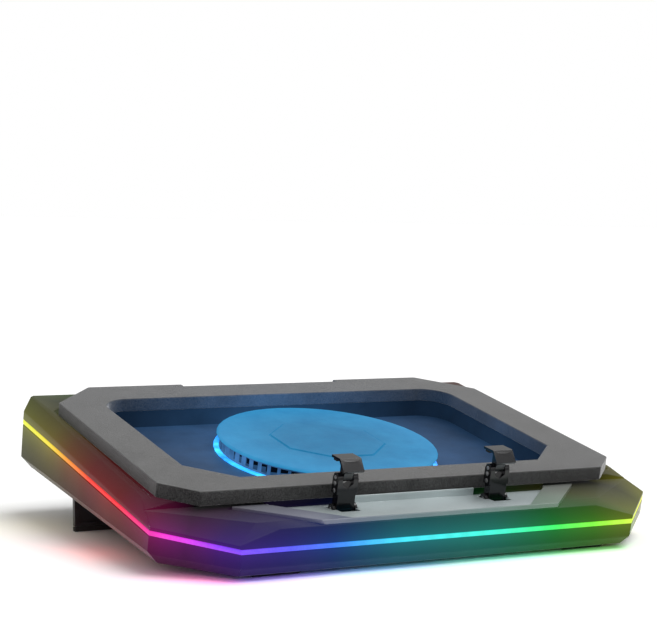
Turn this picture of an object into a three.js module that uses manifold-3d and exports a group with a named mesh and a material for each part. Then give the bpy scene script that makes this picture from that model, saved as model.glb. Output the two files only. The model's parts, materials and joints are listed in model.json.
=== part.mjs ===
// Laptop cooling pad: a wedge-shaped case with a light strip round its edge, a foam gasket on top,
// a centrifugal fan in the well under the gasket, two fold-up stops in front and two fold-out legs.
// Millimetres, +Z up. Everything is drawn in the case's own frame, where z = 0 is the middle of the
// light strip and y = 0 the middle of the case, then the whole pad is tipped back onto its legs.
import * as THREE from 'three';
import { mergeVertices } from 'three/addons/utils/BufferGeometryUtils.js';
import Module from 'manifold-3d';

const wasm = await Module();
wasm.setup();

// ---- driving dimensions ----
const GAP = 0.3; // left between pieces that touch
const TILT = THREE.MathUtils.degToRad(10.07); // of the gasket's plane, standing on the legs

// Case
const CASE_WIDTH = 430;
const CASE_DEPTH = 320;
const FRONT_CUT = 48; // 45 degree corner cuts
const REAR_CUT = 12;
const WALL = 2.4;
const FRONT_DROP = 19.7; // from the light strip down to the bottom plate, at the front
const BOTTOM_SLOPE = 0.06; // the case gets deeper towards the back
const BOTTOM_BEVEL = 8.5;
const BOTTOM_BEVEL_HEIGHT = 9.4;

// Light strip
const STRIP_HEIGHT = 3.4;
const STRIP_THICKNESS = 2.2;
const LED_BOARD_THICKNESS = 1.2;

// Top of the case
const DECK_TOP = 13.9; // where the gasket rests
const SHOULDER_INSET = 8;
const SHOULDER_FRONT = 12.6; // shoulder height at the front end of the case
const SHOULDER_SLOPE = 0.0185;
const SHOULDER_FOOT = 3.4; // top of the upright part of the side wall
const CORNER_FOOT = 4.5; // the same at the front corner cuts
const CORNER_SLOPE = 0.3;
const LIP_SETBACK = 8;
const LIP_TOP = 14;
const FRONT_DECK_DROP = 3.7; // the front deck falls this far from its lip to the gasket
const PLINTH_HALF_WIDTH = 118;
const PLINTH_SETBACK = 2.6; // of the plinth's face behind the gasket's face
const DECK_SETBACK = 13; // of the deck's step behind the gasket's face, beside the plinth

// Gasket
const FOAM_THICKNESS = 10.8;
const FOAM_SIDE_INSET = 16.8; // from the outside of the case
const FOAM_FRONT_INSET = 55.4;
const FOAM_REAR_INSET = 4;
const FOAM_FRONT_CUT = 23.5;
const FOAM_REAR_CUT = 40.3;
const FOAM_NOTCH_HALF_WIDTH = 73;
const FOAM_NOTCH_DEPTH = 5;
const FOAM_MARGIN = 3; // width of the groove round the gasket
const WINDOW_SIDE_BORDER = 35.2; // of foam round the window
const WINDOW_FRONT_BORDER = 26.4;
const WINDOW_REAR_BORDER = 36.5;
const WINDOW_FRONT_CUT = 31.4;
const WINDOW_REAR_RADIUS = 24;
const WELL_MARGIN = 2; // the well under the window is this much larger

// Fan
const FAN_DECK_THICKNESS = 2;
const COVER_RADIUS = 90;
const COVER_SETBACK = 1.5; // of the cover's edge in front of the window's rear edge
const COVER_SINK = 0.3; // of the cover's top under the deck
const COVER_THICKNESS = 2.2;
const COVER_OVERHANG = 3; // past the grille
const GRILLE_WALL = 3.4;
const GRILLE_FINS = 60;
const GRILLE_RIM = 1.4; // above and below the slots
const FIN_WIDTH = 1.5;
const GLOW_OVERHANG = 1.5; // of the light ring past the cover
const GLOW_THICKNESS = 1.5;
const IMPELLER_CLEARANCE = 4.6; // inside the grille
const IMPELLER_BLADES = 22;
const BLADE_THICKNESS = 1.6;
const BLADE_SWEEP = 0.42; // radians, from root to tip
const BLADE_ROOT = 22; // outside the hub
const IMPELLER_PLATE = 1.4;
const INLET_INSET = 15; // of the deck's inlet from the impeller's edge
const INTAKE_OVERLAP = 10; // of the hole in the bottom past the inlet
const INTAKE_THICKNESS = 1.6;
const INTAKE_RIM = 7;
const INTAKE_RIB = 4;
const INTAKE_HUB = 14;
const INTAKE_ROWS = [26, 18, 10]; // slots in each row, from the rim inwards
const FILTER_RISE = 2.4; // above the bottom plate's outside face
const FILTER_HEIGHT = 2.4;
const FILTER_RIM = 3;
const FILTER_SHEET = 0.8;
const CAP_INRADIUS = 43;
const CAP_GROOVE = 1.2;
const CAP_SINK = 1.2;
const CAP_RISE = 0.7;
const MOTOR_RADIUS = 20;
const MOTOR_FLOOR = -8;
const MOTOR_HEADROOM = 1.5; // under the impeller's plate
const MOUNT_THICKNESS = 2.6;
const MOUNT_SPOKE = 6;
const SHAFT_RADIUS = 1.5;
const BEARING_RADIUS = 4;

// Control panel
const BEZEL_HEIGHT = 2.2;
const BEZEL_FRONT_HALF_WIDTH = 98.5;
const BEZEL_REAR_SETBACK = 1.1; // of its rear edge behind the gasket's face
const BEZEL_DEPTH = 0.9; // how far the bezel is let into the deck
const BEZEL_RIM = 2.5; // in front of the panel
const BEZEL_WING = 22.5; // beside the panel
const PANEL_THICKNESS = 1.5;
const PANEL_FRONT_RISE = 1.4; // of the panel's face above the deck, at its front edge
const PANEL_REAR_SINK = 0.9; // and below it, at its rear edge
const PANEL_LEDGE = 3; // of the shell under the panel's edges
const UPSTAND_HALF_WIDTH = 54; // the panel turns up at the back, between the stops
const UPSTAND_TOP = 15.4;
const UPSTAND_THICKNESS = 1.4;
const CONTROL_BOARD_SINK = 6; // under the panel

// Front stops
const STOP_X = 66;
const STOP_SETBACK = 12.4; // of the hinge in front of the gasket
const STOP_PIVOT_SINK = 3.4; // under the deck
const ARM_WIDTH = 17;
const ARM_THICKNESS = 8.5;
const ARM_LEAN = 0.5; // of the arm's middle behind its hinge
const STEM_WIDTH = 14.6;
const STEM_HEIGHT = 11.6; // from the hinge to the arm's wide part
const HINGE_RADIUS = 4;
const EAR_THICKNESS = 2.2;
const EAR_PLAY = 0.6;
const BRACKET_REACH = 8; // from the stem out to each side, and from the hinge to front and back
const BRACKET_FLOOR = 6.8; // under the hinge
const BRACKET_SOLE = 1.6;
const BRACKET_HEIGHT = 4.2;
const PIN_RADIUS = 1.5;
const PIN_PROUD = 0.5;
const LIP_PIVOT_RISE = 9.4; // of the hook's pin above the gasket
const LIP_WIDTH = 17.4;
const LIP_REACH = 9; // of the hook behind the pin
const LIP_RISE = 15; // of the hook's top above the pin
const FORK_WIDTH = 8;
const FORK_PLAY = 0.4;
const FORK_DEPTH = 4.4;
const FORK_VEE = 3.1;
const KNUCKLE_RADIUS = 3.6;
const RIVET_RISES = [14, 19.5]; // above the hinge
const RIVET_RADIUS = 0.9;
const RIVET_HEAD_RADIUS = 1.6;
const RIVET_LENGTH = 3;
const SLOT_MARGIN = 3.7; // round the stem, for the hinge's ears and pin
const SLOT_REAR = 6.5; // from the hinge back to the end of the slot
const SLOT_MIDDLE = 4.8; // from the hinge forward to where the slot narrows
const SLOT_FRONT = 12.5; // from the hinge forward to its front end

// Rear legs
const LEG_SIDE_INSET = 12; // from the outside of the case
const LEG_REAR_INSET = 102; // of the hinge from the back of the case
const LEG_WIDTH = 70;
const LEG_PIVOT_SINK = 1.6; // of the hinge axis above the bottom plate's face
const LEG_THICKNESS = 4;
const LEG_KNUCKLE = 3.8;
const LEG_LEAN = THREE.MathUtils.degToRad(16); // the leg's foot is in front of its hinge
const LEG_RECESS = 1.2; // depth of the panel let into the leg's front
const LEG_FRAME = 4; // width left round that panel
const LEG_TIP_HEIGHT = 4;
const LEG_TIP_PROUD = 0.4;
const LEG_PIN_GRIP = 1.1; // of the pin's ends in the case
const POCKET_DEPTH = 8;
const POCKET_PLAY = 1; // at each end of the leg
const POCKET_FRONT = 6; // in front of the hinge axis
const POCKET_REACH = 36; // behind it

// Feet, ports and screws
const FRONT_FOOT_SIDE_INSET = 83; // to the foot's middle, from the outside of the case
const FRONT_FOOT_INSET = 20;
const FRONT_FOOT_SIZE = [46, 15];
const FRONT_FOOT_SLANT = 9; // of each end
const FRONT_FOOT_HEIGHT = 3.4; // at the foot's front edge
const REAR_FOOT_SIDE_INSET = 37;
const REAR_FOOT_INSET = 24;
const REAR_FOOT_RADIUS = 8;
const REAR_FOOT_TAPER = 1.2;
const REAR_FOOT_HEIGHT = 3;
const PORT_Z = -14;
const PORT_SINK = 0.6; // of the sockets' faces in the back of the case
const SOCKET_X = -70;
const SOCKET_SIZE = [12, 13, 11];
const SOCKET_BORE_RADIUS = 3.2;
const SOCKET_PIN_RADIUS = 1;
const USB_X = [-42, -20];
const USB_SIZE = [14.4, 14, 7];
const USB_WALL = 0.8;
const USB_TONGUE = [10.8, 1.8];
const PORT_BOARD_SIZE = [32, 1.6];
const CONTROL_BOARD_SIZE = [80, 24, 1.6];
const SCREW_RADIUS = 1.5;
const SCREW_HEAD_RADIUS = 3;
const SCREW_HEAD_HEIGHT = 1.8;
const SCREW_SEAT = 1.2; // left of the bottom plate under each head
const SCREW_LENGTH = 10;
const SCREW_SIDE_INSET = 29; // of the side screws, from the outside of the case
const SCREW_FRONT_INSET = 98;
const SCREW_MIDDLE_INSET = 134; // from the back of the case
const SCREW_REAR_INSET = 15; // of the rear screws, from the rear edge of the bottom plate
const SCREW_REAR_X = 120;
const BOSS_RADIUS = 4.4;

const TALL = 80; // taller than the case, for prisms that cut right through
const ROUND = 16; // sides of a small round piece
const FINE = 48; // sides of a large round piece

// ---- colours ----
const BLACK_PLASTIC = { color: 0x2b2b2e, roughness: 0.5, metalness: 0 };
const DARK_PLASTIC = { color: 0x17181b, roughness: 0.45, metalness: 0 };
const GREY_FOAM = { color: 0x6a6a6a, roughness: 0.95, metalness: 0 };
const STRIP_PLASTIC = { color: 0xd8f0ff, roughness: 0.4, metalness: 0 };
const SILVER = { color: 0xb9c0c4, roughness: 0.3, metalness: 0.7 };
const STEEL = { color: 0x9a9da0, roughness: 0.35, metalness: 1 };
const RUBBER = { color: 0x151515, roughness: 0.9, metalness: 0 };
const BOARD = { color: 0x114a2c, roughness: 0.6, metalness: 0 };
const BLUE_PLASTIC = { color: 0x35506e, roughness: 0.45, metalness: 0 };
const COPPER = { color: 0x8c5a3a, roughness: 0.5, metalness: 0.6 };

// ---- places worked out from the dimensions ----
const CASE_FRONT = -CASE_DEPTH / 2;
const CASE_REAR = CASE_DEPTH / 2;
const CASE_SIDE = CASE_WIDTH / 2;
const BOTTOM_LEAN = (FRONT_DROP + CASE_DEPTH * BOTTOM_SLOPE) * BOTTOM_SLOPE; // of the rear wall's foot
const STRIP_TOP = STRIP_HEIGHT / 2;
const LIP_Y = CASE_FRONT + LIP_SETBACK;
const FOAM_BOTTOM = DECK_TOP + GAP;
const FOAM_TOP = FOAM_BOTTOM + FOAM_THICKNESS;
const FOAM_HALF_WIDTH = CASE_SIDE - FOAM_SIDE_INSET;
const FOAM_FRONT = CASE_FRONT + FOAM_FRONT_INSET;
const FOAM_REAR = CASE_REAR - FOAM_REAR_INSET;
const WINDOW_HALF_WIDTH = FOAM_HALF_WIDTH - WINDOW_SIDE_BORDER;
const WINDOW_FRONT = FOAM_FRONT + WINDOW_FRONT_BORDER;
const WINDOW_REAR = FOAM_REAR - WINDOW_REAR_BORDER;
const DECK_FALL = FRONT_DECK_DROP / (FOAM_FRONT - LIP_Y); // per mm towards the back
const FAN_DECK_TOP = 0;
const FAN_Y = WINDOW_REAR - COVER_RADIUS - COVER_SETBACK;
const COVER_TOP = DECK_TOP - COVER_SINK;
const COVER_BOTTOM = COVER_TOP - COVER_THICKNESS;
const GRILLE_RADIUS = COVER_RADIUS - COVER_OVERHANG;
const IMPELLER_RADIUS = GRILLE_RADIUS - GRILLE_WALL - IMPELLER_CLEARANCE;
const IMPELLER_TOP = COVER_BOTTOM - 1.4;
const IMPELLER_BOTTOM = FAN_DECK_TOP + 1;
const HUB_OUTER = MOTOR_RADIUS + 3.4;
const INLET_RADIUS = IMPELLER_RADIUS - INLET_INSET;
const INTAKE_RADIUS = INLET_RADIUS + INTAKE_OVERLAP;
const STOP_PIVOT_Y = FOAM_FRONT - STOP_SETBACK;
const STOP_PIVOT_Z = DECK_TOP - STOP_PIVOT_SINK;
const LIP_PIVOT_Y = STOP_PIVOT_Y + ARM_LEAN;
const LIP_PIVOT_Z = FOAM_TOP + LIP_PIVOT_RISE;
const LEG_OUTER_X = CASE_SIDE - LEG_SIDE_INSET;
const LEG_PIVOT_Y = CASE_REAR - LEG_REAR_INSET;
const FRONT_FOOT_X = CASE_SIDE - FRONT_FOOT_SIDE_INSET;
const FRONT_FOOT_Y = CASE_FRONT + FRONT_FOOT_INSET;
const FOOT_EDGE_Y = FRONT_FOOT_Y - FRONT_FOOT_SIZE[1] / 2;
const REAR_FOOT_X = CASE_SIDE - REAR_FOOT_SIDE_INSET;
const REAR_FOOT_Y = CASE_REAR - REAR_FOOT_INSET;
const SCREW_SPOTS = [-1, 1].flatMap((side) => [
  [side * (CASE_SIDE - SCREW_SIDE_INSET), CASE_FRONT + SCREW_FRONT_INSET],
  [side * (CASE_SIDE - SCREW_SIDE_INSET), CASE_REAR - SCREW_MIDDLE_INSET],
  [side * SCREW_REAR_X, CASE_REAR - BOTTOM_LEAN - SCREW_REAR_INSET],
]);

// ---- shapes to solids and back ----

// A closed three.js geometry as a manifold solid.
function solid(geometry) {
  const bare = geometry.clone();
  bare.deleteAttribute('normal');
  bare.deleteAttribute('uv');
  const merged = mergeVertices(bare, 1e-4);
  const mesh = new wasm.Mesh({
    numProp: 3,
    vertProperties: new Float32Array(merged.attributes.position.array),
    triVerts: new Uint32Array(merged.index.array),
  });
  return new wasm.Manifold(mesh);
}

function geometryOf(manifold) {
  const mesh = manifold.getMesh();
  const geometry = new THREE.BufferGeometry();
  geometry.setAttribute('position', new THREE.BufferAttribute(mesh.vertProperties, 3));
  geometry.setIndex(new THREE.BufferAttribute(mesh.triVerts, 1));
  geometry.computeVertexNormals();
  return geometry;
}

function joined(...solids) {
  return solids.reduce((whole, next) => whole.add(next));
}

function without(whole, ...cuts) {
  return cuts.reduce((rest, cut) => rest.subtract(cut), whole);
}

function common(...solids) {
  return solids.reduce((rest, next) => rest.intersect(next));
}

// ---- plan outlines, and prisms along each axis ----

function polygon(points) {
  return new THREE.Shape(points.map(([u, v]) => new THREE.Vector2(u, v)));
}

// An outline symmetric about x = 0 with 45 degree corner cuts.
function cutOutline(halfWidth, front, rear, frontCut, rearCut) {
  const right = [
    [halfWidth - frontCut, front],
    [halfWidth, front + frontCut],
    [halfWidth, rear - rearCut],
    [halfWidth - rearCut, rear],
  ];
  const left = right.map(([x, y]) => [-x, y]).reverse();
  return polygon([...right, ...left]);
}

// The case's outline, drawn in by inset all round.
function caseOutline(inset) {
  const corner = inset * (2 - Math.SQRT2); // a parallel 45 degree cut gets this much shorter
  const end = CASE_DEPTH / 2 - inset;
  return cutOutline(CASE_SIDE - inset, -end, end, FRONT_CUT - corner, REAR_CUT - corner);
}

// The window in the gasket, made larger by margin all round.
function windowOutline(margin) {
  const corner = margin * (2 - Math.SQRT2);
  const x = WINDOW_HALF_WIDTH + margin;
  const front = WINDOW_FRONT - margin;
  const rear = WINDOW_REAR + margin;
  const cut = WINDOW_FRONT_CUT + corner;
  const radius = WINDOW_REAR_RADIUS + margin;
  const shape = new THREE.Shape();
  shape.moveTo(x - cut, front);
  shape.lineTo(x, front + cut);
  shape.lineTo(x, rear - radius);
  shape.absarc(x - radius, rear - radius, radius, 0, Math.PI / 2, false);
  shape.lineTo(radius - x, rear);
  shape.absarc(radius - x, rear - radius, radius, Math.PI / 2, Math.PI, false);
  shape.lineTo(-x, front + cut);
  shape.lineTo(cut - x, front);
  shape.closePath();
  return shape;
}

function prismZ(shape, low, high, curveSegments = 6) {
  const geometry = new THREE.ExtrudeGeometry(shape, {
    depth: high - low,
    bevelEnabled: false,
    curveSegments,
  });
  return geometry.translate(0, 0, low);
}

// A Y-Z outline run along X.
function prismX(points, low, high) {
  const geometry = prismZ(polygon(points), low, high);
  const turn = new THREE.Matrix4().makeBasis(
    new THREE.Vector3(0, 1, 0),
    new THREE.Vector3(0, 0, 1),
    new THREE.Vector3(1, 0, 0),
  );
  return geometry.applyMatrix4(turn);
}

// An X-Z outline run along Y.
function prismY(points, low, high) {
  const geometry = prismZ(polygon(points), -high, -low);
  const turn = new THREE.Matrix4().makeBasis(
    new THREE.Vector3(1, 0, 0),
    new THREE.Vector3(0, 0, 1),
    new THREE.Vector3(0, -1, 0),
  );
  return geometry.applyMatrix4(turn);
}

function block(lowX, highX, lowY, highY, lowZ, highZ) {
  const geometry = new THREE.BoxGeometry(highX - lowX, highY - lowY, highZ - lowZ);
  return geometry.translate((lowX + highX) / 2, (lowY + highY) / 2, (lowZ + highZ) / 2);
}

function rodX(radius, lowX, highX, y, z, sides = ROUND) {
  const geometry = new THREE.CylinderGeometry(radius, radius, highX - lowX, sides);
  return geometry.rotateZ(Math.PI / 2).translate((lowX + highX) / 2, y, z);
}

function rodZ(radius, lowZ, highZ, x, y, sides = ROUND) {
  const geometry = new THREE.CylinderGeometry(radius, radius, highZ - lowZ, sides);
  return geometry.rotateX(Math.PI / 2).translate(x, y, (lowZ + highZ) / 2);
}

// A ring about the fan's axis.
function ringZ(inner, outer, low, high, sides = FINE) {
  const profile = [[inner, low], [outer, low], [outer, high], [inner, high], [inner, low]];
  return latheZ(profile, sides);
}

// A [radius, z] profile turned about the fan's axis.
function latheZ(profile, sides = FINE) {
  const points = profile.map(([r, z]) => new THREE.Vector2(r, z));
  const geometry = new THREE.LatheGeometry(points, sides);
  return geometry.rotateX(Math.PI / 2).translate(0, FAN_Y, 0);
}

// ---- surfaces that several pieces follow ----


function bottomAt(y) {
  return -FRONT_DROP - BOTTOM_SLOPE * (y - CASE_FRONT);
}

function frontDeckAt(y) {
  return LIP_TOP - DECK_FALL * (y - LIP_Y);
}

// The case stands on the front feet's front edge.
function floorAt(y) {
  return bottomAt(FOOT_EDGE_Y) - FRONT_FOOT_HEIGHT - Math.tan(TILT) * (y - FOOT_EDGE_Y);
}

// ---- lower shell ----

// The space under the strip and above the bottom plate, drawn in by inset all round.
function lowerBody(inset, top) {
  const bevel = {
    depth: TALL,
    bevelEnabled: true,
    bevelThickness: BOTTOM_BEVEL_HEIGHT,
    bevelSize: BOTTOM_BEVEL,
    bevelOffset: -BOTTOM_BEVEL,
    bevelSegments: 1,
  };
  const slope = Math.atan(BOTTOM_SLOPE);
  const plate = new THREE.ExtrudeGeometry(caseOutline(inset), bevel);
  plate.translate(0, -BOTTOM_LEAN, BOTTOM_BEVEL_HEIGHT + inset);
  plate.rotateX(-slope);
  plate.translate(0, 0, bottomAt(0));
  const upright = prismZ(caseOutline(inset), -TALL, top);
  return common(solid(plate), solid(upright));
}

const POCKET_INNER_X = LEG_OUTER_X - LEG_WIDTH - POCKET_PLAY;
const POCKET_OUTER_X = LEG_OUTER_X + POCKET_PLAY;
const LEG_PIVOT_Z = bottomAt(LEG_PIVOT_Y) + LEG_PIVOT_SINK;

function legPocket(side, margin) {
  const low = side * POCKET_INNER_X - side * margin;
  const high = side * POCKET_OUTER_X + side * margin;
  const front = LEG_PIVOT_Y - POCKET_FRONT - margin;
  const rear = LEG_PIVOT_Y + POCKET_REACH + margin;
  const roof = bottomAt(LEG_PIVOT_Y) + POCKET_DEPTH + margin;
  return solid(block(Math.min(low, high), Math.max(low, high), front, rear, -TALL, roof));
}

// The rod through a leg's knuckle, with its ends in the case; grow makes it larger all over.
function legPinRod(side, grow) {
  const low = side < 0 ? -POCKET_OUTER_X : POCKET_INNER_X;
  const high = side < 0 ? -POCKET_INNER_X : POCKET_OUTER_X;
  const end = LEG_PIN_GRIP + grow;
  return solid(rodX(PIN_RADIUS + grow, low - end, high + end, LEG_PIVOT_Y, LEG_PIVOT_Z));
}

function screwHole(x, y, radius, low, high) {
  return solid(rodZ(radius, low, high, x, y));
}

function portCut(x, [width, , height]) {
  return solid(block(
    x - width / 2 - GAP, x + width / 2 + GAP,
    CASE_REAR - REAR_CUT, CASE_REAR + REAR_CUT,
    PORT_Z - height / 2 - GAP, PORT_Z + height / 2 + GAP,
  ));
}

function lowerShell() {
  const top = -STRIP_TOP - GAP;
  const outer = lowerBody(0, top);
  let shell = without(outer, lowerBody(WALL, TALL));
  for (const side of [-1, 1]) {
    const housing = common(legPocket(side, WALL), outer);
    shell = without(joined(shell, housing), legPocket(side, 0));
    shell = without(shell, legPinRod(side, GAP));
  }
  shell = without(shell, solid(rodZ(INTAKE_RADIUS, -TALL, 0, 0, FAN_Y, FINE)));
  for (const [x, y] of SCREW_SPOTS) {
    shell = without(shell, screwHole(x, y, SCREW_RADIUS + GAP, -TALL, 0));
    const seat = bottomAt(y) + SCREW_SEAT;
    shell = without(shell, screwHole(x, y, SCREW_HEAD_RADIUS + GAP, -TALL, seat));
  }
  shell = without(shell, portCut(SOCKET_X, SOCKET_SIZE));
  for (const x of USB_X) {
    shell = without(shell, portCut(x, USB_SIZE));
  }
  return shell;
}

// ---- upper shell ----

// The case's top surface: walls leaning in to a shoulder, a lip in front and cut-down front corners.
function upperBody(inset) {
  const low = STRIP_TOP + GAP;
  const x = CASE_SIDE - inset;
  const shoulderX = x - SHOULDER_INSET;
  const sides = prismY([
    [-x, -TALL], [x, -TALL], [x, SHOULDER_FOOT - inset], [shoulderX, SHOULDER_FRONT - inset],
    [-shoulderX, SHOULDER_FRONT - inset], [-x, SHOULDER_FOOT - inset],
  ], -CASE_DEPTH, CASE_DEPTH);
  const slope = Math.atan(SHOULDER_SLOPE);
  sides.translate(0, -CASE_FRONT, 0);
  sides.rotateX(slope);
  sides.translate(0, CASE_FRONT, 0);
  const front = CASE_FRONT + inset;
  const rear = CASE_REAR - inset;
  const ends = prismX([
    [front, -TALL], [rear, -TALL], [rear, SHOULDER_FOOT - inset + 4],
    [rear - SHOULDER_INSET, TALL], [LIP_Y + inset, TALL], [LIP_Y + inset, LIP_TOP - inset],
    [front, low - 0.5],
  ], -CASE_WIDTH, CASE_WIDTH);
  let body = common(solid(prismZ(caseOutline(inset), low, TALL)), solid(sides), solid(ends));
  for (const side of [-1, 1]) {
    body = without(body, cornerSlope(side, inset));
  }
  return body;
}

// The wedge above the sloping surface at a front corner.
function cornerSlope(side, inset) {
  const reach = 130;
  const rise = CORNER_FOOT - inset;
  const wedge = prismX([
    [-20, rise - 20 * CORNER_SLOPE], [reach, rise + reach * CORNER_SLOPE],
    [reach, TALL], [-20, TALL],
  ], -reach, reach);
  wedge.rotateZ(side * Math.PI / 4);
  wedge.translate(side * (CASE_SIDE - FRONT_CUT / 2), CASE_FRONT + FRONT_CUT / 2, 0);
  return solid(wedge);
}

// What is taken off the top for the gasket and for the front deck; drop is the wall left under and
// beside both when the hollow is cut.
function topCuts(drop) {
  const front = FOAM_FRONT + DECK_SETBACK;
  const rear = CASE_REAR + TALL; // open at the back
  const margin = FOAM_MARGIN + drop;
  const corner = margin * (Math.SQRT2 - 1);
  const foam = cutOutline(
    FOAM_HALF_WIDTH + margin, front, rear,
    FOAM_FRONT_CUT - DECK_SETBACK - corner, FOAM_REAR_CUT + rear - FOAM_REAR - corner,
  );
  const seat = prismZ(foam, DECK_TOP - drop, TALL);
  const back = front + drop;
  const beside = prismX([
    [LIP_Y, LIP_TOP - drop], [back, frontDeckAt(back) - drop], [back, TALL], [LIP_Y, TALL],
  ], -CASE_WIDTH, CASE_WIDTH);
  return [solid(seat), solid(beside)];
}

// The raised block under the front of the gasket, with slanting ends.
function plinth() {
  const front = FOAM_FRONT + PLINTH_SETBACK;
  const low = frontDeckAt(front) - 3;
  const face = prismY([
    [-PLINTH_HALF_WIDTH - 6, DECK_TOP], [-PLINTH_HALF_WIDTH + 4, low],
    [PLINTH_HALF_WIDTH - 4, low], [PLINTH_HALF_WIDTH + 6, DECK_TOP],
  ], front, FOAM_FRONT + DECK_SETBACK + 2);
  return solid(face);
}

function wellTube() {
  const outer = solid(prismZ(windowOutline(WELL_MARGIN + WALL), FAN_DECK_TOP - 3, DECK_TOP - 1));
  const inner = solid(prismZ(windowOutline(WELL_MARGIN), -TALL, TALL));
  return [outer, inner];
}

function upperShell() {
  const [wallOuter, wallInner] = wellTube();
  let shell = without(upperBody(0), ...topCuts(0));
  const hollow = without(upperBody(WALL), ...topCuts(WALL));
  const under = solid(block(
    -CASE_WIDTH, CASE_WIDTH, -CASE_DEPTH, CASE_DEPTH, -TALL, STRIP_TOP + GAP + 0.5,
  ));
  const skirt = common(solid(prismZ(caseOutline(WALL + 1), -TALL, TALL)), under);
  shell = without(shell, hollow, skirt);
  shell = joined(shell, plinth(), wallOuter);
  shell = without(shell, wallInner, bezelBody(GAP));
  shell = without(shell, panelPrism(GAP, -PANEL_THICKNESS - GAP, TALL));
  shell = without(shell, panelPrism(-PANEL_LEDGE, -TALL, TALL));
  for (const [x, y] of SCREW_SPOTS) {
    const foot = bottomAt(y) + WALL + GAP + 0.3;
    shell = joined(shell, solid(rodZ(BOSS_RADIUS, foot, DECK_TOP - 1.5, x, y)));
    shell = without(shell, screwHole(x, y, SCREW_RADIUS + GAP, foot - 1, foot + SCREW_LENGTH));
  }
  return shell;
}

// ---- light strip ----

function ring(insetOuter, insetInner, low, high) {
  const outer = solid(prismZ(caseOutline(insetOuter), low, high));
  const inner = solid(prismZ(caseOutline(insetInner), low - 1, high + 1));
  return without(outer, inner);
}

function lightDiffuser() {
  return ring(0, STRIP_THICKNESS, -STRIP_TOP, STRIP_TOP);
}

function ledBoard() {
  const outer = STRIP_THICKNESS + GAP;
  return ring(outer, outer + LED_BOARD_THICKNESS, -STRIP_TOP, STRIP_TOP);
}

// ---- gasket ----

function foamSeal() {
  const outline = cutOutline(
    FOAM_HALF_WIDTH, FOAM_FRONT, FOAM_REAR, FOAM_FRONT_CUT, FOAM_REAR_CUT,
  );
  const notch = block(
    -FOAM_NOTCH_HALF_WIDTH, FOAM_NOTCH_HALF_WIDTH,
    FOAM_REAR - FOAM_NOTCH_DEPTH, FOAM_REAR + FOAM_NOTCH_DEPTH, FOAM_BOTTOM - 1, FOAM_TOP + 1,
  );
  const opening = prismZ(windowOutline(0), FOAM_BOTTOM - 1, FOAM_TOP + 1);
  return without(solid(prismZ(outline, FOAM_BOTTOM, FOAM_TOP)), solid(opening), solid(notch));
}

// ---- control panel ----

// A trapezium on the front deck, its sloping sides at 45 degrees; grow moves its edges out.
function deckTrapezium(front, rear, frontHalfWidth, grow) {
  const corner = grow * (Math.SQRT2 - 1);
  const rearHalfWidth = frontHalfWidth + (rear - front);
  return polygon([
    [-frontHalfWidth - corner, front - grow], [frontHalfWidth + corner, front - grow],
    [rearHalfWidth + corner + grow, rear + grow], [-rearHalfWidth - corner - grow, rear + grow],
  ]);
}

// A prism on a plane that falls towards the back, low and high counted from that plane.
function onSlope(shape, low, high, fall, middle) {
  const geometry = prismZ(shape, low, high);
  const shear = new THREE.Matrix4().set(
    1, 0, 0, 0,
    0, 1, 0, 0,
    0, -fall, 1, middle,
    0, 0, 0, 1,
  );
  return geometry.applyMatrix4(shear);
}

function onDeck(shape, low, high) {
  return onSlope(shape, low, high, DECK_FALL, frontDeckAt(0));
}

const PANEL_FRONT = LIP_Y + BEZEL_RIM;
const PANEL_REAR = FOAM_FRONT - 0.6;
const PANEL_FRONT_HALF_WIDTH = BEZEL_FRONT_HALF_WIDTH - BEZEL_WING;
const PANEL_FRONT_Z = frontDeckAt(PANEL_FRONT) + PANEL_FRONT_RISE;
const PANEL_REAR_Z = frontDeckAt(PANEL_REAR) - PANEL_REAR_SINK;
const PANEL_REAR_HALF_WIDTH = PANEL_FRONT_HALF_WIDTH + (PANEL_REAR - PANEL_FRONT);
const PANEL_FALL = (PANEL_FRONT_Z - PANEL_REAR_Z) / (PANEL_REAR - PANEL_FRONT);

// The panel's outline run up and down, low and high counted from its face.
function panelPrism(grow, low, high) {
  const shape = deckTrapezium(PANEL_FRONT, PANEL_REAR, PANEL_FRONT_HALF_WIDTH, grow);
  return solid(onSlope(shape, low, high, PANEL_FALL, PANEL_FRONT_Z + PANEL_FALL * PANEL_FRONT));
}

// The bezel's outer form, let into the deck so that its front joins the sloping fascia.
function bezelBody(grow) {
  const front = LIP_Y - LIP_SETBACK / 4;
  const rear = FOAM_FRONT + BEZEL_REAR_SETBACK;
  const shape = deckTrapezium(front, rear, BEZEL_FRONT_HALF_WIDTH, grow);
  return solid(onDeck(shape, -BEZEL_DEPTH - grow, BEZEL_HEIGHT));
}

// The bezel is open at the back, where the panel turns up.
function controlBezel() {
  const opening = joined(
    panelPrism(GAP, -TALL, TALL),
    solid(block(-PANEL_REAR_HALF_WIDTH, PANEL_REAR_HALF_WIDTH, PANEL_REAR, 0, -TALL, TALL)),
  );
  const lean = LIP_SETBACK / (LIP_TOP - STRIP_TOP);
  const fascia = prismX([
    [LIP_Y - lean * TALL, LIP_TOP - TALL], [LIP_Y + lean * TALL, LIP_TOP + TALL],
    [LIP_Y - lean * TALL, LIP_TOP + TALL],
  ], -CASE_WIDTH, CASE_WIDTH);
  return without(bezelBody(0), opening, solid(fascia));
}

// A stop stands in this slot and folds forward into it; it is wider round the hinge.
function stopSlot(x) {
  const y = STOP_PIVOT_Y;
  const wide = STEM_WIDTH / 2 + SLOT_MARGIN;
  const narrow = STEM_WIDTH / 2 + EAR_PLAY;
  return joined(
    solid(block(x - wide, x + wide, y - SLOT_MIDDLE, y + SLOT_REAR, -TALL, TALL)),
    solid(block(x - narrow, x + narrow, y - SLOT_FRONT, y, -TALL, TALL)),
  );
}

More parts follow.
